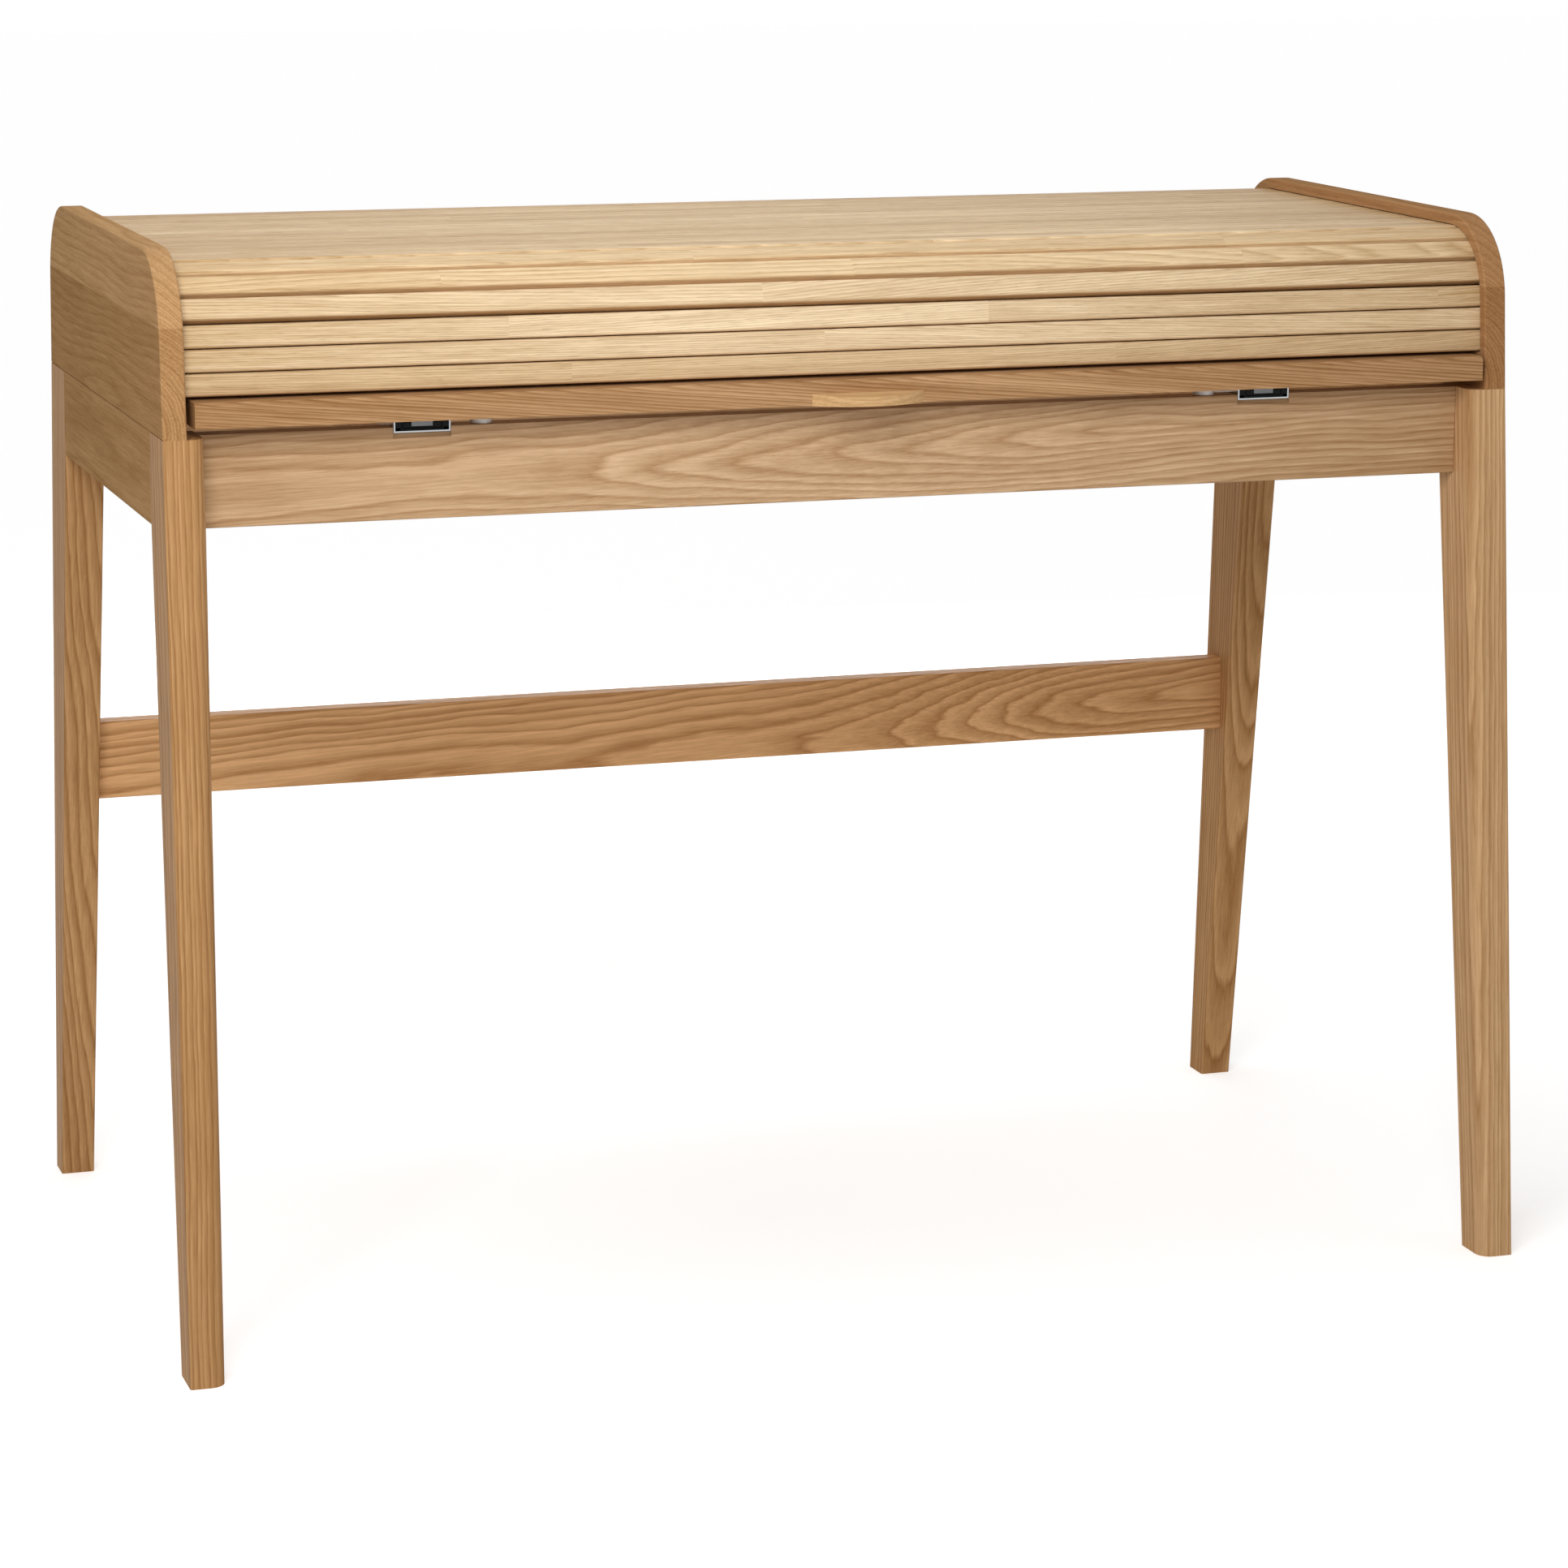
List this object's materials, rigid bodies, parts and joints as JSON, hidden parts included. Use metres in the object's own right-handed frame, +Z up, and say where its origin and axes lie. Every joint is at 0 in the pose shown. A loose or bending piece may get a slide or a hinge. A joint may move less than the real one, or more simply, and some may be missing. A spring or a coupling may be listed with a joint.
{
  "type": "roll top desk",
  "caption": "Ash writing desk on leaning tapered legs, with a low roll top tambour between rounded cheeks and a worktop that pulls out on slides.",
  "frame": {"origin": "on the floor under the middle of the desk", "axes": "+X to the right seen from the front, +Y to the back, +Z up"},
  "size_m": [1.145, 0.6352, 0.8813],
  "materials": {
    "ash_frame": "satin",
    "ash_tambour": "satin",
    "ash_worktop": "satin",
    "bright_steel": "polished",
    "white_nylon": "matte",
    "grey_plastic": "matte"
  },
  "bodies": {
    "frame": {"back_panel": "ash_frame", "corner_blocks": "ash_frame", "front_apron": "ash_frame", "front_left_leg": "ash_frame", "front_right_leg": "ash_frame", "left_cheek": "ash_frame", "left_side_apron": "ash_frame", "left_slide_bearer": "ash_frame", "left_slide_outer": "bright_steel", "rear_apron": "ash_frame", "rear_left_leg": "ash_frame", "rear_right_leg": "ash_frame", "rear_stretcher": "ash_frame", "right_cheek": "ash_frame", "right_side_apron": "ash_frame", "right_slide_bearer": "ash_frame", "right_slide_outer": "bright_steel"},
    "worktop": {"worktop_panel": "ash_worktop", "worktop_front_rail": "ash_worktop", "lip_pull": "ash_worktop", "glide_buttons": "white_nylon", "left_slide_inner": "bright_steel", "right_slide_inner": "bright_steel", "slide_end_plugs": "grey_plastic"},
    "left_slide_middle": {"left_slide_middle": "bright_steel"},
    "right_slide_middle": {"right_slide_middle": "bright_steel"},
    "tambour_top": {"tambour_slat_07": "ash_tambour", "tambour_slat_08": "ash_tambour", "tambour_slat_09": "ash_tambour", "tambour_slat_10": "ash_tambour", "tambour_slat_11": "ash_tambour", "tambour_slat_12": "ash_tambour", "tambour_slat_13": "ash_tambour", "tambour_slat_14": "ash_tambour", "tambour_slat_15": "ash_tambour", "tambour_slat_16": "ash_tambour", "tambour_slat_17": "ash_tambour", "tambour_slat_18": "ash_tambour", "tambour_slat_19": "ash_tambour", "tambour_slat_20": "ash_tambour", "tambour_slat_21": "ash_tambour"},
    "front_bend_1": {"tambour_slat_06": "ash_tambour"},
    "front_bend_2": {"tambour_slat_05": "ash_tambour"},
    "front_bend_3": {"tambour_slat_04": "ash_tambour"},
    "tambour_front": {"tambour_slat_01": "ash_tambour", "tambour_slat_02": "ash_tambour", "tambour_slat_03": "ash_tambour"},
    "rear_bend_1": {"tambour_slat_22": "ash_tambour"},
    "rear_bend_2": {"tambour_slat_23": "ash_tambour"},
    "rear_bend_3": {"tambour_slat_24": "ash_tambour"},
    "tambour_tail": {"tambour_slat_25": "ash_tambour", "tambour_slat_26": "ash_tambour", "tambour_slat_27": "ash_tambour"}
  },
  "joints": [
    {"name": "worktop_slide", "type": "slide", "parent": "frame", "child": "worktop", "axis": [0, -1, 0], "range_m": [0, 0.25]},
    {"name": "left_slide_run", "type": "slide", "parent": "frame", "child": "left_slide_middle", "axis": [0, -1, 0], "range_m": [0, 0.1251]},
    {"name": "right_slide_run", "type": "slide", "parent": "frame", "child": "right_slide_middle", "axis": [0, -1, 0], "range_m": [0, 0.1251]},
    {"name": "tambour_roll", "type": "slide", "parent": "frame", "child": "tambour_top", "axis": [0, 1, 0], "range_m": [0, 0.111]},
    {"name": "front_hinge_1", "type": "hinge", "parent": "tambour_top", "child": "front_bend_1", "pos_m": [0, -0.19425, 0.86129], "axis": [-1, 0, 0], "range_deg": [0, 21.39]},
    {"name": "front_hinge_2", "type": "hinge", "parent": "front_bend_1", "child": "front_bend_2", "pos_m": [0, -0.21148, 0.85454], "axis": [-1, 0, 0], "range_deg": [0, 21.39]},
    {"name": "front_hinge_3", "type": "hinge", "parent": "front_bend_2", "child": "front_bend_3", "pos_m": [0, -0.22506, 0.84198], "axis": [-1, 0, 0], "range_deg": [0, 21.39]},
    {"name": "front_hinge_4", "type": "hinge", "parent": "front_bend_3", "child": "tambour_front", "pos_m": [0, -0.23312, 0.82533], "axis": [-1, 0, 0], "range_deg": [0, 21.39]},
    {"name": "rear_hinge_1", "type": "hinge", "parent": "tambour_top", "child": "rear_bend_1", "pos_m": [0, 0.08325, 0.86129], "axis": [-1, 0, 0], "range_deg": [0, 21.39]},
    {"name": "rear_hinge_2", "type": "hinge", "parent": "rear_bend_1", "child": "rear_bend_2", "pos_m": [0, 0.10175, 0.86129], "axis": [-1, 0, 0], "range_deg": [0, 21.39]},
    {"name": "rear_hinge_3", "type": "hinge", "parent": "rear_bend_2", "child": "rear_bend_3", "pos_m": [0, 0.12025, 0.86129], "axis": [-1, 0, 0], "range_deg": [0, 21.39]},
    {"name": "rear_hinge_4", "type": "hinge", "parent": "rear_bend_3", "child": "tambour_tail", "pos_m": [0, 0.13875, 0.86129], "axis": [-1, 0, 0], "range_deg": [0, 21.39]}
  ],
  "couplings": [
    {"joint": "left_slide_run", "follows": "worktop_slide", "ratio": 0.5},
    {"joint": "right_slide_run", "follows": "worktop_slide", "ratio": 0.5},
    {"joint": "front_hinge_1", "follows": "tambour_roll", "rad_per_m": 3.3625},
    {"joint": "front_hinge_2", "follows": "tambour_roll", "rad_per_m": 3.3625},
    {"joint": "front_hinge_3", "follows": "tambour_roll", "rad_per_m": 3.3625},
    {"joint": "front_hinge_4", "follows": "tambour_roll", "rad_per_m": 3.3625},
    {"joint": "rear_hinge_1", "follows": "tambour_roll", "rad_per_m": 3.3625},
    {"joint": "rear_hinge_2", "follows": "tambour_roll", "rad_per_m": 3.3625},
    {"joint": "rear_hinge_3", "follows": "tambour_roll", "rad_per_m": 3.3625},
    {"joint": "rear_hinge_4", "follows": "tambour_roll", "rad_per_m": 3.3625}
  ]
}
